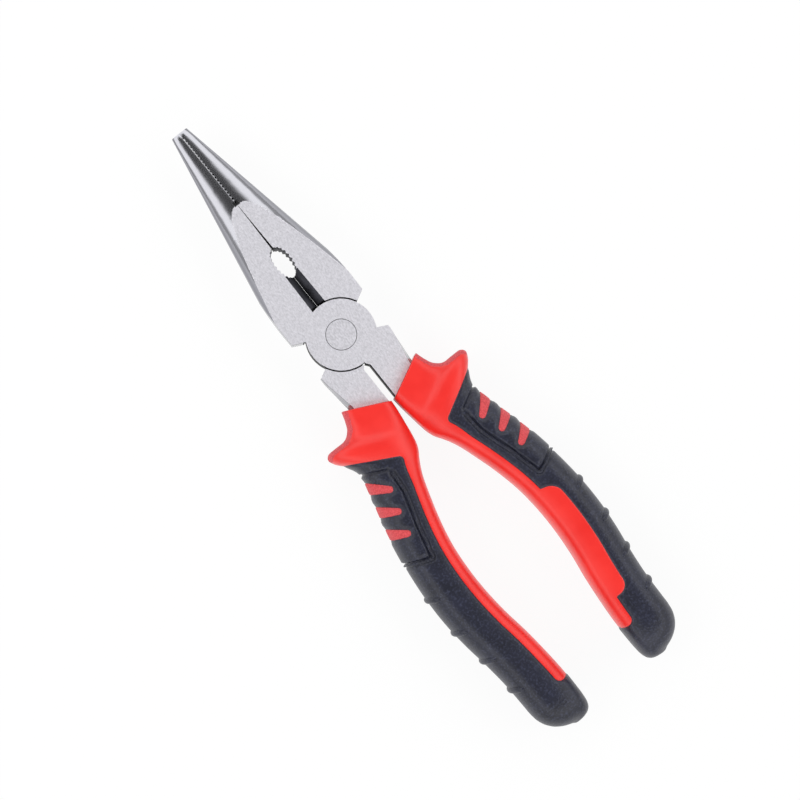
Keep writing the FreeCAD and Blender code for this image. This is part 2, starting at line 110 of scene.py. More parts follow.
BAND_WIDTH = 3.35             # red band along the inner edge
BAND_FLARE = 1.2              # how much wider it is at the guard
FLARE_FADE = (37.0, 46.0)     # over these distances behind the pivot
BAND_START = (36.0, 44.0)     # where the band's crest rises, behind the pivot
BAND_CREST, BAND_SPREAD = 1.75, 1.25     # its distance from the inner edge, and its width
BAND_END = -113.4
BAND_END_FADE = (-1.0, 1.5)
BAND_PROUD = 0.32
PANEL_REACH = 7.6             # bare panel, from the inner edge
PANEL_TOP, PANEL_BOTTOM = -69.0, -104.9
PANEL_SLANT, PANEL_LEVEL = 0.28, 5.0     # slope of its top, and where the top is at PANEL_TOP
CORNER, PANEL_CORNER = 1.6, 2.6
GUARD_EDGE = ((22.2, -29.2), (9.0, -36.3))     # where the cover starts, behind the guard
COVER_PROUD = 0.20
COVER_TUCK = 0.55             # how far each moulding dips under the other
TUCK_WIDTH = 0.8
SLEEVE_DIP = 0.50             # further down, where the cover has its grooves
COVER_WALL = 1.2
COVER_EDGE = 0.75             # half width of the cover's rounded edge
COVER_KEPT = -0.7             # how far outside its outline the cover's mesh runs
DETAIL_FADE = (0.8, 1.5)      # how far inside its outline the cover's details start
STRIPES = [
    ((22.4, -37.6), (16.6, -42.2)), ((24.4, -44.6), (18.6, -48.4)), ((26.0, -51.4), (20.4, -54.8)),
]
STRIPE_ROOT, STRIPE_TIP = 1.62, 0.72
STRIPE_PROUD, STRIPE_EDGE = 0.24, 0.6
SHEEN_RIM_WIDTH = 1.5               # front rim of the collar and guard, painted paler as a sheen where it faces sideways
SHEEN_RIM_ROWS = 7
PAD = [(31.0, -29.2), (13.5, -37.6), (14.0, -45.0), (17.1, -55.0), (19.4, -64.0), (33.0, -58.6)]
PAD_PROUD, PAD_EDGE = 0.22, 0.25
PAD_GROOVE = (0.0, 0.30, 0.90)     # lines round the pad: distance from it, width, and depth or height
OUTER_GROOVE = (1.05, 0.26, 0.54)
PAD_RIDGE = (0.55, 0.22, 0.58)
FRAME_START = (38.0, 39.5)    # where the outer groove and the ridge start, behind the pivot
SMALL_BAR = ((20.6, -62.75), (22.3, -62.15))
SMALL_BAR_RADIUS, SMALL_BAR_PROUD, SMALL_BAR_EDGE = 0.45, 0.32, 0.15

RIB_PLACES = [(-73.3, 24.5), (-85.2, 24.3), (-96.3, 22.8), (-107.5, 21.8)]   # y, and x of the tip
RIB_RADIUS = 1.05
RIB_PROUD = 0.68
RIB_SWEEP = 1.5               # how far the tips trail towards the handle's end
RIB_BEAD_RADIUS = 0.5
RIB_TAPER = 0.14              # share of its length at each end
RIB_POINTS, RIB_TRIALS = 41, 400
RIB_LOOK = (0.1, 0.01)        # small steps along and round the grip that give its normal

LEVEL = 0.9999                # a face is flat where its normal is this upright
SHARP_ANGLE = math.radians(28)
MERGE_DISTANCE = 0.0005
FLAT_ANGLE = math.radians(0.4)
BREAK_ANGLE = math.radians(32)     # edges sharper than this are broken
FORGING_BREAK, RIVET_BREAK = 0.12, 0.20

# Sunk places of the head about the pivot: half width, and the y they run between.  The two
# recesses carry forging scale.  The walls of the narrow gaps, which are JAW_LINE, SHANK_LINE and
# LAP_WALL, are painted near black as shade, the shade that a closed gap holds.  This painted shade
# stays when the jaws open, where real ones would show bare steel.
CUTTER_RECESS = (2.60, 2.0, 22.7)
PIPE_RECESS = (3.1, 20.9, 31.2)
JAW_LINE = (0.9, 30.6, 48.0)
SHANK_LINE = (1.6, -24.0, -9.0)
LAP_WALL = (9.9, 10.9)        # radii on either side of the gap round the lap disc
SUNK_DEPTH = (0.03, 0.08)     # below the ground faces
RIVET_SHADE_RING = (4.24, 4.34)     # radii between which the rivet's rim is painted dark as shade, in the fine gap round its head


# ------------------------------------------------------------------ small tools
def linear(code):
    """An sRGB hex colour as the linear values that a shader takes."""
    channels = [int(code[i:i + 2], 16) / 255 for i in (0, 2, 4)]
    return [c / 12.92 if c <= 0.04045 else ((c + 0.055) / 1.055) ** 2.4 for c in channels] + [1.0]


def add(tree, kind, inputs=(), **settings):
    """One node with its settings, and its inputs as values or as other nodes' sockets."""
    node = tree.nodes.new(kind)
    for name, value in settings.items():
        setattr(node, name, value)
    for key, value in dict(inputs).items():
        if isinstance(value, bpy.types.NodeSocket):
            tree.links.new(value, node.inputs[key])
        else:
            node.inputs[key].default_value = value
    return node


def smooth_step(x, low, high):
    """0 below low, 1 above high, and smooth between."""
    t = np.clip((x - low) / (high - low), 0.0, 1.0)
    return t * t * (3 - 2 * t)


def spline(knots, values, at):
    """A smooth curve through values at knots, read at the places given."""
    knots, values = np.asarray(knots, float), np.asarray(values, float)
    steps = np.diff(knots)
    slopes = np.diff(values) / steps
    tangents = np.empty_like(values)
    tangents[0], tangents[-1] = slopes[0], slopes[-1]
    tangents[1:-1] = (slopes[:-1] * steps[1:] + slopes[1:] * steps[:-1]) / (steps[1:] + steps[:-1])
    i = np.clip(np.searchsorted(knots, at, side="right") - 1, 0, len(steps) - 1)
    h = steps[i]
    t = (at - knots[i]) / h
    t2, t3 = t * t, t * t * t
    return (
        (2 * t3 - 3 * t2 + 1) * values[i] + (t3 - 2 * t2 + t) * h * tangents[i]
        + (3 * t2 - 2 * t3) * values[i + 1] + (t3 - t2) * h * tangents[i + 1]
    )


def mesh_object(name, vertices, faces, material):
    mesh = bpy.data.meshes.new(name)
    mesh.from_pydata(vertices, [], faces)
    mesh.materials.append(material)
    mesh.shade_smooth()
    made = bpy.data.objects.new(name, mesh)
    bpy.context.scene.collection.objects.link(made)
    return made


def applied(made):
    """The object's mesh with its modifiers worked in, and none left on it."""
    depsgraph = bpy.context.evaluated_depsgraph_get()
    mesh = bpy.data.meshes.new_from_object(made.evaluated_get(depsgraph))
    made.modifiers.clear()
    made.data = mesh
    return made


# ------------------------------------------------------------------ distances in the plan view
def to_segment(x, y, a, b):
    """Distance from a segment, and how far along it the nearest point lies."""
    ax, ay, bx, by = *a, *b
    dx, dy = bx - ax, by - ay
    h = np.clip(((x - ax) * dx + (y - ay) * dy) / (dx * dx + dy * dy), 0, 1)
    return np.hypot(x - ax - h * dx, y - ay - h * dy), h


def to_polygon(x, y, corners):
    """Signed distance from a closed outline, negative inside."""
    nearest = np.full(np.shape(x), 1e9)
    inside = np.zeros(np.shape(x), bool)
    for a, b in zip(corners, corners[1:] + corners[:1]):
        nearest = np.minimum(nearest, to_segment(x, y, a, b)[0])
        crosses = (a[1] > y) != (b[1] > y)
        slant = (b[0] - a[0]) * (y - a[1]) / (b[1] - a[1] + 1e-12) + a[0]
        inside ^= crosses & (x < slant)
    return np.where(inside, -nearest, nearest)


def round_corner(a, b, r):
    """Signed distance of the overlap of two regions, with a corner of radius r."""
    qa, qb = a + r, b + r
    return np.hypot(np.maximum(qa, 0), np.maximum(qb, 0)) + np.minimum(np.maximum(qa, qb), 0) - r


# ------------------------------------------------------------------ grip skin
class Skin:
    """The grip's outer surface: t runs along it in millimetres, phi runs round it."""

    def __init__(self):
        rows = GRIP_SECTIONS
        self.outer = np.array([r[0] for r in rows])
        self.inner = np.array([r[1] for r in rows])
        spine = self.outer * SPINE_SHARE + self.inner * (1 - SPINE_SHARE)
        reach = np.hypot(*np.diff(spine, axis=0).T)
        self.knots = np.concatenate([[0.0], np.cumsum(np.maximum(reach, SHORTEST_REACH))])
        self.length = self.knots[-1]
        self.height = [r[2] for r in rows]
        self.square = [r[3] for r in rows]

    def edges(self, t):
        outer = np.stack([spline(self.knots, self.outer[:, k], t) for k in (0, 1)], -1)
        inner = np.stack([spline(self.knots, self.inner[:, k], t) for k in (0, 1)], -1)
        return outer, inner

    def at(self, t, phi):
        """Points, and their distance from the inner edge in the plan view."""
        t, phi = np.broadcast_arrays(t, phi)
        outer, inner = self.edges(t)
        height = spline(self.knots, self.height, t)
        square = spline(self.knots, self.square, t)
        width = np.hypot(outer[..., 0] - inner[..., 0], outer[..., 1] - inner[..., 1])
        handle = smooth_step(t, self.knots[GUARD_ROW], self.knots[HANDLE_ROW])
        centre = 0.5 + (CENTRE_SHARE - 0.5) * handle
        outer_square = square + (OUTER_ROUND - square) * handle
        c, s = np.cos(phi), np.sin(phi)
        power = np.where(c > 0, outer_square, square)
        cx = np.sign(c) * np.abs(c) ** (2 / power)
        cz = np.sign(s) * np.abs(s) ** (2 / power)
        across = centre + np.where(c > 0, 1 - centre, centre) * cx
        plan = inner + (outer - inner) * across[..., None]
        return np.concatenate([plan, (height * cz)[..., None]], -1), across * width

    def grid(self, step):
        """Rows of points spaced about a step apart."""
        t = np.linspace(0, self.length, int(self.length / step) + 1)
        trial = np.linspace(-math.pi, math.pi, GIRTH_TRIALS)
        ring, _ = self.at(self.knots[GIRTH_ROW], trial)
        run = np.concatenate([[0], np.cumsum(np.linalg.norm(np.diff(ring, axis=0), axis=1))])
        count = int(run[-1] / step)
        phi = np.interp(np.arange(count) * run[-1] / count, run, trial)
        points, inset = self.at(t[:, None], phi[None, :])
        return points, inset

    def outer_t(self, y):
        """The t at which the handle's outer edge has this y."""
        t = np.linspace(self.knots[NECK_ROW], self.length, 2000)
        return float(np.interp(-y, -self.edges(t)[0][:, 1], t))


SKIN = Skin()


def stripe_distance(x, y):
    """Signed distance from the nearest stripe, negative inside it."""
    nearest = np.full(np.shape(x), 1e9)
    for root, tip in STRIPES:
        d, h = to_segment(x, y, root, tip)
        nearest = np.minimum(nearest, d - (STRIPE_ROOT + (STRIPE_TIP - STRIPE_ROOT) * h))
    return nearest


def sheen_rim_distance(x, y):
    """Distance from the front rim of the collar and guard, which is painted paler as a sheen, negative on
    it.
    """
    corners = [row[0] for row in GRIP_SECTIONS[:SHEEN_RIM_ROWS]]
    nearest = np.full(np.shape(x), 1e9)
    for a, b in zip(corners, corners[1:]):
        nearest = np.minimum(nearest, to_segment(x, y, a, b)[0])
    return nearest - SHEEN_RIM_WIDTH


def cover_distance(x, y, z, inset):
    """How far a skin point lies inside the soft cover's outline; negative on the bare sleeve."""
    (ax, ay), (bx, by) = GUARD_EDGE
    length = math.hypot(bx - ax, by - ay)
    behind_guard = ((x - ax) * (ay - by) + (y - ay) * (bx - ax)) / length
    width = BAND_WIDTH + BAND_FLARE * (1 - smooth_step(-y, *FLARE_FADE))
    band = round_corner(inset - width, BAND_END - y, CORNER)
    r = CORNER
    cover = np.where(
        (behind_guard < r) & (band < r),
        r - np.hypot(r - behind_guard, r - band),
        np.minimum(behind_guard, band),
    )
    slant = PANEL_SLANT * (inset - PANEL_LEVEL)
    tall = np.maximum(y - (PANEL_TOP - slant), PANEL_BOTTOM - y)
    panel = round_corner(inset - PANEL_REACH, tall, PANEL_CORNER)
    cover = np.where(z > 0, np.minimum(cover, panel), cover)
    return np.minimum(cover, stripe_distance(x, y))


def line(distance, place, width, height):
    """A rounded line, raised or sunk, that keeps a distance from something."""
    return height * np.exp(-((distance - place) / width) ** 2)


def band_relief(y, inset):
    """The raised, rounded band along the inner edge, which runs on under the cover's end."""
    return smooth_step(-y, *BAND_START) * line(inset, BAND_CREST, BAND_SPREAD, BAND_PROUD)


def cover_relief(x, y, inside):
    """The raised pad, the grooves and ridge that frame it, and the small bar at its end."""
    pad = to_polygon(x, y, PAD)
    frame_lines = line(pad, *PAD_RIDGE) - line(pad, *OUTER_GROOVE)
    relief = PAD_PROUD * smooth_step(-pad, -PAD_EDGE, PAD_EDGE) - line(pad, *PAD_GROOVE)
    relief += frame_lines * smooth_step(-y, *FRAME_START)
    beside_bar = to_segment(x, y, *SMALL_BAR)[0] - SMALL_BAR_RADIUS
    relief += SMALL_BAR_PROUD * smooth_step(-beside_bar, -SMALL_BAR_EDGE, SMALL_BAR_EDGE)
    return relief * smooth_step(inside, *DETAIL_FADE)


def normals_of(points):
    """Outward unit normals on a closed-round grid of points."""
    along = np.gradient(points, axis=0)
    around = np.roll(points, -1, axis=1) - np.roll(points, 1, axis=1)
    n = np.cross(around, along)
    return n / np.maximum(np.linalg.norm(n, axis=-1, keepdims=True), 1e-9)


def skin_mesh(points, keep):
    """Vertices and faces of a grid, with the faces kept that touch a kept point."""
    rows, count = points.shape[:2]
    index = np.arange(rows * count).reshape(rows, count)
    right = np.roll(index, -1, axis=1)
    quads = np.stack([index[:-1], right[:-1], right[1:], index[1:]], -1).reshape(-1, 4)
    wanted = keep.reshape(-1)[quads].any(axis=1)
    return points.reshape(-1, 3), quads[wanted]


def placed(points, turned):
    """Pivot millimetres to metres in the row's frame; turned is the other, turned-over grip."""
    flip = np.array([-1, 1, -1]) if turned else np.array([1, 1, 1])
    return points * flip * MM + np.array(PIVOT)


def sleeve_skin():
    """Vertices, faces and second-material faces of the red sleeve (grained stripes, and the front rim with
    its painted sheen), sunk where the cover lies over it.
    """
    points, inset = SKIN.grid(SLEEVE_STEP)
    x, y, z = np.moveaxis(points, -1, 0)
    inside = cover_distance(x, y, z, inset)
    stripe = stripe_distance(x, y)
    relief = band_relief(y, inset) + STRIPE_PROUD * smooth_step(-stripe, -STRIPE_EDGE, 0.0)
    relief -= COVER_TUCK * smooth_step(inside, 0.0, TUCK_WIDTH)
    relief -= SLEEVE_DIP * smooth_step(inside, *DETAIL_FADE)
    points = points + normals_of(points) * relief[..., None]
    vertices, faces = skin_mesh(points, np.ones(inside.shape, bool))
    # the stripes are grained; the front rim takes the same paler material as a painted sheen
    sparked_or_sheen = (stripe < STRIPE_EDGE) | (sheen_rim_distance(x, y) < 0)
    grained_or_sheen = sparked_or_sheen.reshape(-1)[faces].all(axis=1).tolist() + [False, False]
    rows, count = inside.shape
    faces = [tuple(f) for f in faces.tolist()]
    faces.append(tuple(reversed(range(count))))
    faces.append(tuple(range((rows - 1) * count, rows * count)))
    return vertices, faces, grained_or_sheen


def cover_skin():
    """Vertices and faces of the soft cover's outer side, which has no grained faces."""
    points, inset = SKIN.grid(ROW_STEP)
    x, y, z = np.moveaxis(points, -1, 0)
    inside = cover_distance(x, y, z, inset)
    relief = band_relief(y, inset) * smooth_step(BAND_END - y, *BAND_END_FADE)
    relief += cover_relief(x, y, inside)
    relief += -COVER_TUCK + (COVER_TUCK + COVER_PROUD) * smooth_step(inside, -COVER_EDGE, COVER_EDGE)
    points = points + normals_of(points) * relief[..., None]
    vertices, faces = skin_mesh(points, inside > COVER_KEPT)
    rows, count = inside.shape
    faces = [tuple(f) for f in faces.tolist()]
    faces.append(tuple(range((rows - 1) * count, rows * count)))
    return vertices, faces, [False] * len(faces)


def grip_piece(name, shape, turned, materials):
    """One moulding; the faces marked in the shape take the second material."""
    vertices, faces, marked = shape
    made = mesh_object(name, placed(vertices, turned).tolist(), faces, materials[0])
    for material in materials[1:]:
        made.data.materials.append(material)
        made.data.polygons.foreach_set("material_index", np.array(marked, np.int32))
    work = bmesh.new()
    work.from_mesh(made.data)
    loose = [v for v in work.verts if not v.link_faces]
    bmesh.ops.delete(work, geom=loose, context="VERTS")
    bmesh.ops.recalc_face_normals(work, faces=work.faces)
    work.to_mesh(made.data)
    work.free()
    return made


# ------------------------------------------------------------------ materials
def new_material(name):
    material = bpy.data.materials.new(name)
    material.use_nodes = True
    tree = material.node_tree
    shader = tree.nodes["Principled BSDF"]
    place = add(tree, "ShaderNodeTexCoord").outputs["Object"]
    return material, tree, shader, place


def noise(tree, place, size_mm, detail=2.0, stretch=(1, 1, 1)):
    """Noise whose grains are about the size given, in millimetres."""
    mapped = add(tree, "ShaderNodeMapping", {"Vector": place, "Scale": stretch}).outputs["Vector"]
    return add(tree, "ShaderNodeTexNoise", {
        "Vector": mapped, "Scale": 1 / (size_mm * MM), "Detail": detail,
    })


def ramp(tree, fac, low, high, to_low=0.0, to_high=1.0):
    """A value carried from one range to another, and held at its ends."""
    node = add(tree, "ShaderNodeMapRange", {
        "Value": fac, "From Min": low, "From Max": high, "To Min": to_low, "To Max": to_high,
    })
    return node.outputs["Result"]


def bump(tree, height, distance_mm, strength=1.0, normal=None):
    inputs = {"Height": height, "Distance": distance_mm * MM, "Strength": strength}
    if normal is not None:
        inputs["Normal"] = normal
    return add(tree, "ShaderNodeBump", inputs).outputs["Normal"]


def mix_colour(tree, fac, first, second):
    node = add(tree, "ShaderNodeMix", data_type="RGBA")
    for key, value in ((0, fac), (6, first), (7, second)):
        if isinstance(value, bpy.types.NodeSocket):
            tree.links.new(value, node.inputs[key])
        else:
            node.inputs[key].default_value = value
    return node.outputs[2]


def maths(tree, operation, a, b=0.0):
    return add(tree, "ShaderNodeMath", {0: a, 1: b}, operation=operation).outputs[0]


def red_grained_and_painted_sheen():
    """The same plastic where the mould is sparked: matt and broken up, so it looks paler and duller. On
    the front rim of the collar and guard this paler colour is a painted sheen, where the surface faces
    sideways.

    The grain is about 0.1 mm and is drawn at 0.42 mm, so that it shows.
    """
    material, tree, shader, place = new_material("grained_red_polypropylene_and_painted_sheen")
    grain = noise(tree, place, 0.42, 3).outputs["Fac"]
    colour = mix_colour(tree, ramp(tree, grain, 0.38, 0.66), linear("CA3E43"), linear("E6545A"))
    tree.links.new(colour, shader.inputs["Base Color"])
    tree.links.new(bump(tree, grain, 0.06), shader.inputs["Normal"])
    shader.inputs["Roughness"].default_value = 0.62
    shader.inputs["IOR"].default_value = 1.49
    return material


def red_polypropylene():
    """Moulded hard plastic: a satin skin with a faint orange peel that softens its highlights."""
    material, tree, shader, place = new_material("moulded_red_polypropylene")
    patch = noise(tree, place, 9.0, 3).outputs["Fac"]
    colour = mix_colour(tree, ramp(tree, patch, 0.35, 0.65), linear("EF2E29"), linear("F73630"))
    tree.links.new(colour, shader.inputs["Base Color"])
    peel = noise(tree, place, 0.8, 2).outputs["Fac"]
    tree.links.new(bump(tree, peel, 0.012), shader.inputs["Normal"])
    tree.links.new(ramp(tree, patch, 0.3, 0.7, 0.32, 0.38), shader.inputs["Roughness"])
    shader.inputs["IOR"].default_value = 1.49
    return material


def grey_elastomer():
    """Soft overmould: matt, with a spark-eroded grain that breaks up any highlight.

    The grain is about 0.15 mm and is drawn at 0.6 mm, so that it shows.
    """
    material, tree, shader, place = new_material("overmoulded_grey_elastomer")
    patch = noise(tree, place, 6.0, 3).outputs["Fac"]
    grain = noise(tree, place, 0.6, 4).outputs["Fac"]
    base = mix_colour(tree, ramp(tree, patch, 0.3, 0.7), linear("191A27"), linear("232536"))
    colour = mix_colour(tree, ramp(tree, grain, 0.5, 0.75, 0.0, 0.6), base, linear("474B62"))
    tree.links.new(colour, shader.inputs["Base Color"])
    tree.links.new(bump(tree, grain, 0.10), shader.inputs["Normal"])
    shader.inputs["Roughness"].default_value = 0.40
    shader.inputs["IOR"].default_value = 1.54
    return material


def between(tree, value, low, high, soft=0.1 * MM):
    """1 between two values, 0 outside them."""
    above = ramp(tree, value, low, low + soft)
    below = ramp(tree, value, high - soft, high, 1.0, 0.0)
    return maths(tree, "MULTIPLY", above, below)


def from_pivot(tree, parts):
    """Distance from the pivot's axis."""
    across, ahead = parts["X"], maths(tree, "SUBTRACT", parts["Y"], PIVOT.y)
    squares = [maths(tree, "MULTIPLY", side, side) for side in (across, ahead)]
    return maths(tree, "SQRT", maths(tree, "ADD", *squares))


def forged_steel():
    """One forging: matt ground cheeks, a polished nose whose sides are painted darker as shade, dark scale
    in its recesses, gap walls painted near black as shade.

    Grinding marks are about 0.05 mm wide and are drawn at 0.3 and 0.55 mm, so that they show.
    """
    material, tree, shader, place = new_material("ground_chrome_vanadium_steel")
    parts = add(tree, "ShaderNodeSeparateXYZ", {"Vector": place}).outputs
    low, high = (corner[2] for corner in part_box("left_jaw_half"))
    from_middle = maths(tree, "ABSOLUTE", maths(tree, "SUBTRACT", parts["Z"], (low + high) / 2))
    depth = maths(tree, "SUBTRACT", (high - low) / 2, from_middle)
    facing = add(tree, "ShaderNodeSeparateXYZ", {
        "Vector": add(tree, "ShaderNodeNewGeometry").outputs["Normal"]}).outputs["Z"]
    # painted light and shade: unground steel is coloured lighter where it faces up and darker where it
    # faces sideways
    painted_light_upright = ramp(tree, maths(tree, "ABSOLUTE", facing), 0.5, 0.85)
    ragged = noise(tree, place, 0.9, 3, (1.6, 0.5, 1)).outputs["Fac"]
    edge = maths(tree, "MULTIPLY", ragged, 0.16 * MM)
    ground = ramp(tree, maths(tree, "SUBTRACT", depth, edge), 0.0, 0.03 * MM, 1.0, 0.0)

    aside = maths(tree, "ABSOLUTE", parts["X"])
    ahead = maths(tree, "SUBTRACT", parts["Y"], PIVOT.y)
    radius = from_pivot(tree, parts)
    below_face = ramp(tree, depth, SUNK_DEPTH[0] * MM, SUNK_DEPTH[1] * MM)

    def sunk(mask, *places):
        """A mask with more places added to it, below the ground faces only."""
        for width, low, high in places:
            across = between(tree, aside, -MM, width * MM)
            along = between(tree, ahead, low * MM, high * MM)
            mask = maths(tree, "MAXIMUM", mask, maths(tree, "MULTIPLY", across, along))
        return maths(tree, "MULTIPLY", mask, below_face)

    # painted shade: the walls of the narrow gaps are coloured near black where shade falls in them
    painted_gap_shade = sunk(between(tree, radius, LAP_WALL[0] * MM, LAP_WALL[1] * MM), JAW_LINE, SHANK_LINE)
    scale = sunk(between(tree, radius, -MM, LAP_WALL[1] * MM), CUTTER_RECESS, PIPE_RECESS)
    scale = maths(tree, "MAXIMUM", scale, painted_gap_shade)

    hair = noise(tree, place, 0.55, 4, (1.2, 0.6, 1)).outputs["Fac"]
    fine = noise(tree, place, 0.30, 3).outputs["Fac"]
    cloud = noise(tree, place, 5.0, 3).outputs["Fac"]
    grain = maths(tree, "ADD", maths(tree, "MULTIPLY", hair, 0.6), maths(tree, "MULTIPLY", fine, 0.4))
    ground_colour = mix_colour(tree, ramp(tree, grain, 0.35, 0.65), linear("DEDDE2"), linear("F6F5FA"))
    # the polished colour carries painted shade on sideways faces and painted light on upright ones
    polished = mix_colour(tree, painted_light_upright, linear("929299"), linear("BCBCC2"))
    colour = mix_colour(tree, ground, polished, ground_colour)
    scale_colour = mix_colour(tree, ramp(tree, cloud, 0.35, 0.65), linear("3A3A40"), linear("5A5A62"))
    colour = mix_colour(tree, scale, colour, scale_colour)
    # the gap walls take a painted near-black shade colour
    colour = mix_colour(tree, painted_gap_shade, colour, linear("0C0C0F"))
    tree.links.new(colour, shader.inputs["Base Color"])
    tree.links.new(ramp(tree, scale, 0, 1, 1.0, 0.25), shader.inputs["Metallic"])
    rough = ramp(tree, ground, 0, 1, 0.17, 0.72)
    rough = maths(tree, "MAXIMUM", rough, maths(tree, "MULTIPLY", scale, 0.6))
    tree.links.new(rough, shader.inputs["Roughness"])
    height = maths(tree, "ADD", hair, fine)
    tree.links.new(bump(tree, height, 0.014, ramp(tree, ground, 0, 1, 0.25, 1.0)), shader.inputs["Normal"])
    return material


def rivet_steel():
    """A softer steel, ground off flush with the cheeks, with shade painted dark in the fine ring round its
    head.
    """
    material, tree, shader, place = new_material("ground_rivet_steel")
    shader.inputs["Metallic"].default_value = 1.0
    hair = noise(tree, place, 0.55, 4, (1.2, 0.6, 1)).outputs["Fac"]
    colour = mix_colour(tree, ramp(tree, hair, 0.35, 0.65), linear("DCDBE0"), linear("F4F3F8"))
    parts = add(tree, "ShaderNodeSeparateXYZ", {"Vector": place}).outputs
    # painted shade: a thin dark ring where the rivet's head meets the cheeks
    ring = ramp(tree, from_pivot(tree, parts), RIVET_SHADE_RING[0] * MM, RIVET_SHADE_RING[1] * MM)
    tree.links.new(mix_colour(tree, ring, colour, linear("5C5C62")), shader.inputs["Base Color"])
    tree.links.new(bump(tree, hair, 0.014), shader.inputs["Normal"])
    shader.inputs["Roughness"].default_value = 0.72
    return material


# ------------------------------------------------------------------ steel pieces
def steel_copy(node, name, body, material, edge_mm):
    """A merged copy of a forging with a small break on its edges."""
    source = frame["nodes"][node]
    made = source.copy()
    made.data = source.data.copy()
    made.name = made.data.name = name
    made.parent = None
    for key in list(made.keys()):
        del made[key]
    bpy.context.scene.collection.objects.link(made)
    work = bmesh.new()
    work.from_mesh(made.data)
    bmesh.ops.remove_doubles(work, verts=work.verts, dist=MERGE_DISTANCE * MM)
    bmesh.ops.dissolve_limit(
        work, angle_limit=FLAT_ANGLE, verts=work.verts, edges=work.edges, delimit={"NORMAL"},
    )
    work.to_mesh(made.data)
    made.data.materials.clear()
    made.data.materials.append(material)
    bevel = made.modifiers.new("edge_break", "BEVEL")
    bevel.width = edge_mm * MM
    bevel.segments = 2
    bevel.limit_method = "ANGLE"
    bevel.angle_limit = BREAK_ANGLE
    bevel.use_clamp_overlap = True
    applied(made)
    made.data.shade_smooth()
    work.free()
    work = bmesh.new()
    work.from_mesh(made.data)
    for edge in work.edges:
        flats = [abs(face.normal.z) > LEVEL for face in edge.link_faces]
        edge.smooth = len(flats) == 2 and flats[0] == flats[1] and edge.calc_face_angle(0.0) < SHARP_ANGLE
    work.to_mesh(made.data)
    work.free()
    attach(made, body)
    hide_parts(node)
    return made


# ------------------------------------------------------------------ ribs on the covers
def rib_paths(turned):
    """One spline per rib, over the palm side from face to face, just under the skin."""
    curve = bpy.data.curves.new("rib_paths", "CURVE")
    curve.dimensions = "3D"
    for y, tip_x in RIB_PLACES:
        t0 = SKIN.outer_t(y)
        phi = np.linspace(0, math.pi / 2, RIB_TRIALS)
        reach = phi[np.argmin(np.abs(SKIN.at(t0, phi)[0][:, 0] - tip_x))]
        swing = np.linspace(-reach, reach, RIB_POINTS)
        slide = RIB_SWEEP * (np.abs(swing) / reach) ** 2
        here, _ = SKIN.at(t0 + slide, swing)
        ahead, _ = SKIN.at(t0 + slide + RIB_LOOK[0], swing)
        beside, _ = SKIN.at(t0 + slide, swing + RIB_LOOK[1])
        normal = np.cross(beside - here, ahead - here)
        normal /= np.linalg.norm(normal, axis=1, keepdims=True)
        sunk = here + normal * (COVER_PROUD + RIB_PROUD - RIB_RADIUS)
        path = curve.splines.new("POLY")
        path.points.add(len(sunk) - 1)
        for point, place in zip(path.points, placed(sunk, turned)):
            point.co = (*place, 1.0)
    return curve


def rib_tree(material):
    """Sweeps a round bar along each path, tapers its ends into the skin and ends it in a bead."""
    tree = bpy.data.node_groups.new("cover_ribs", "GeometryNodeTree")
    face = tree.interface
    face.new_socket("Geometry", in_out="INPUT", socket_type="NodeSocketGeometry")
    sizes = {}
    for name, value in (
        ("Bar Radius", RIB_RADIUS * MM), ("Bead Radius", RIB_BEAD_RADIUS * MM), ("End Share", RIB_TAPER),
    ):
        socket = face.new_socket(name, in_out="INPUT", socket_type="NodeSocketFloat")
        socket.default_value = value
        sizes[name] = socket.identifier
    face.new_socket("Geometry", in_out="OUTPUT", socket_type="NodeSocketGeometry")
    given = add(tree, "NodeGroupInput").outputs
    along = add(tree, "GeometryNodeSplineParameter").outputs["Factor"]
    to_end = maths(tree, "MINIMUM", along, maths(tree, "SUBTRACT", 1.0, along))
    share = maths(tree, "MINIMUM", maths(tree, "DIVIDE", to_end, given["End Share"]), 1.0)
    drop = maths(tree, "SUBTRACT", 1.0, share)
    swell = maths(tree, "SQRT", maths(tree, "SUBTRACT", 1.02, maths(tree, "MULTIPLY", drop, drop)))
    ring = add(tree, "GeometryNodeCurvePrimitiveCircle", {"Resolution": 20, "Radius": 1.0})
    bar = add(tree, "GeometryNodeCurveToMesh", {
        "Curve": given["Geometry"], "Profile Curve": ring.outputs["Curve"],
        "Scale": maths(tree, "MULTIPLY", swell, given["Bar Radius"]), "Fill Caps": True,
    })
    ends = add(tree, "GeometryNodeCurveEndpointSelection", {"Start Size": 1, "End Size": 1})
    ball = add(tree, "GeometryNodeMeshIcoSphere", {"Radius": given["Bead Radius"], "Subdivisions": 3})
    beads = add(tree, "GeometryNodeInstanceOnPoints", {
        "Points": given["Geometry"], "Instance": ball.outputs["Mesh"],
        "Selection": ends.outputs["Selection"],
    })
    both = add(tree, "GeometryNodeJoinGeometry")
    tree.links.new(bar.outputs["Mesh"], both.inputs[0])
    tree.links.new(beads.outputs["Instances"], both.inputs[0])
    real = add(tree, "GeometryNodeRealizeInstances", {"Geometry": both.outputs[0]})
    smooth = add(tree, "GeometryNodeSetShadeSmooth", {"Geometry": real.outputs["Geometry"]})
    coat = add(tree, "GeometryNodeSetMaterial", {
        "Geometry": smooth.outputs["Geometry"], "Material": material,
    })
    add(tree, "NodeGroupOutput", {"Geometry": coat.outputs["Geometry"]})
    return tree, sizes


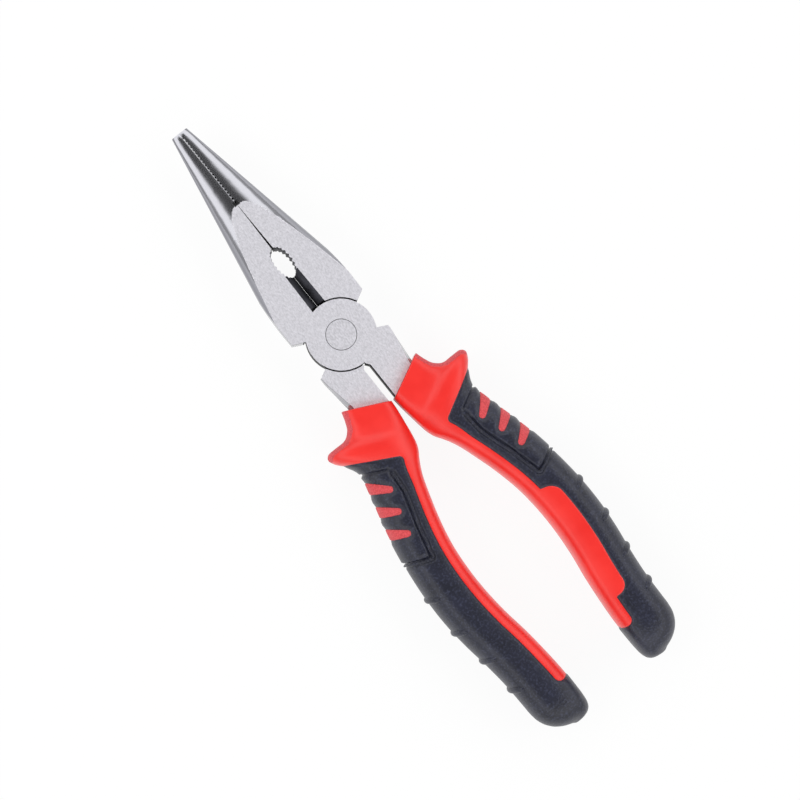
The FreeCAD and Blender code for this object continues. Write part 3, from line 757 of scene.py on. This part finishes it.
def cover_ribs(name, turned, body, tree, sizes):
    """The ribs of one cover as a plain mesh."""
    holder = bpy.data.objects.new("rib_path_holder", rib_paths(turned))
    bpy.context.scene.collection.objects.link(holder)
    sweep = holder.modifiers.new("ribs", "NODES")
    sweep.node_group = tree
    sweep[sizes["Bar Radius"]] = RIB_RADIUS * MM
    depsgraph = bpy.context.evaluated_depsgraph_get()
    mesh = bpy.data.meshes.new_from_object(holder.evaluated_get(depsgraph))
    bpy.data.objects.remove(holder)
    mesh.name = name
    made = bpy.data.objects.new(name, mesh)
    bpy.context.scene.collection.objects.link(made)
    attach(made, body)
    return made


# ------------------------------------------------------------------ build
def build_pliers():
    steel = forged_steel()
    red, grained_or_sheen = red_polypropylene(), red_grained_and_painted_sheen()
    grey = grey_elastomer()
    for side in ("left_jaw", "right_jaw"):
        steel_copy(side + "_half", side + "_forging", side + "_lever", steel, FORGING_BREAK)
    steel_copy("pivot_rivet", "flush_rivet", "left_jaw_lever", rivet_steel(), RIVET_BREAK)
    sleeve, cover = sleeve_skin(), cover_skin()
    tree, sizes = rib_tree(grey)
    for side, turned, body in (("right", False, RIGHT_GRIP_BODY), ("left", True, LEFT_GRIP_BODY)):
        red_piece = grip_piece(side + "_red_sleeve", sleeve, turned, [red, grained_or_sheen])
        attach(red_piece, body)
        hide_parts(side + "_grip_sleeve")
        grey_piece = grip_piece(side + "_soft_cover", cover, turned, [grey])
        wall = grey_piece.modifiers.new("wall", "SOLIDIFY")
        wall.thickness = COVER_WALL * MM
        wall.offset = -1
        applied(grey_piece)
        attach(grey_piece, body)
        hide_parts(side + "_grip_cover")
        cover_ribs(side + "_cover_ribs", turned, body, tree, sizes)


# ------------------------------------------------------------------ floor, light and camera
FLOOR_SIZE = 6.0
FLOOR_GLOW = 0.92             # share of the floor that is plain white to the eye; the rest takes shadow


def set_floor():
    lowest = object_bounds()[0][2]
    bpy.ops.mesh.primitive_plane_add(size=FLOOR_SIZE, location=(0, 0, lowest))
    floor = bpy.context.object
    floor.name = "floor"
    material, tree, shader, _ = new_material("white_floor")
    shader.inputs["Base Color"].default_value = linear("FAFAFA")
    shader.inputs["Roughness"].default_value = 1.0
    shader.inputs["Specular IOR Level"].default_value = 0.0
    path = add(tree, "ShaderNodeLightPath").outputs
    seen = maths(tree, "MAXIMUM", path["Is Glossy Ray"], path["Is Transmission Ray"])
    seen = maths(tree, "MAXIMUM", path["Is Camera Ray"], seen)
    glow = add(tree, "ShaderNodeEmission", {"Strength": 1.0}).outputs["Emission"]
    both = add(tree, "ShaderNodeMixShader", {
        0: maths(tree, "MULTIPLY", seen, FLOOR_GLOW), 1: shader.outputs["BSDF"], 2: glow,
    })
    tree.links.new(both.outputs["Shader"], tree.nodes["Material Output"].inputs["Surface"])
    floor.data.materials.append(material)


def set_light():
    """A soft ring of light half way up, with a dark top so that the ground faces don't glare."""
    world = bpy.data.worlds.new("studio")
    bpy.context.scene.world = world
    world.use_nodes = True
    tree = world.node_tree
    back = tree.nodes["Background"]
    direction = add(tree, "ShaderNodeTexCoord").outputs["Generated"]
    up = add(tree, "ShaderNodeSeparateXYZ", {"Vector": direction}).outputs["Z"]
    ring = ramp(tree, up, 0.34, 0.46, 0.5, 1.5)
    strength = maths(tree, "MULTIPLY", ring, ramp(tree, up, 0.80, 0.87, 1.0, 0.05))
    tree.links.new(strength, back.inputs["Strength"])
    back.inputs["Color"].default_value = (1, 1, 1, 1)
    for name, place, size, power in (
        ("key", (-0.55, 0.35, 0.75), 0.5, 1.6),
        ("fill", (0.60, -0.30, 0.65), 0.5, 0.8),
    ):
        light = bpy.data.lights.new(name, "AREA")
        light.size = size
        light.energy = power
        holder = bpy.data.objects.new(name, light)
        holder.visible_glossy = False
        holder.location = place
        holder.rotation_euler = (Vector((0, 0, 0)) - Vector(place)).to_track_quat("-Z", "Y").to_euler()
        bpy.context.scene.collection.objects.link(holder)


def set_camera():
    """Straight over the pliers, leaning a little to their left, with the tips up to the right."""
    frame_width = 223.8 * MM
    distance = 0.60
    lean = math.radians(3.8)
    centre = PIVOT + Vector((1.40, -24.56, 5.0)) * MM
    back = Vector((-math.sin(lean), 0, math.cos(lean)))
    up = Vector((0.626, 0.780, 0)).normalized()
    up = (up - back * up.dot(back)).normalized()
    right = up.cross(back)
    data = bpy.data.cameras.new("camera")
    data.sensor_width = 36.0
    data.lens = 36.0 * distance / frame_width
    data.clip_start, data.clip_end = 0.01, 20
    camera = bpy.data.objects.new("camera", data)
    turn = Matrix((right, up, back)).transposed().to_4x4()
    camera.matrix_world = Matrix.Translation(centre + back * distance) @ turn
    bpy.context.scene.collection.objects.link(camera)
    bpy.context.scene.camera = camera
    bpy.context.scene.view_settings.view_transform = "Standard"


build_pliers()
set_floor()
set_light()
set_camera()
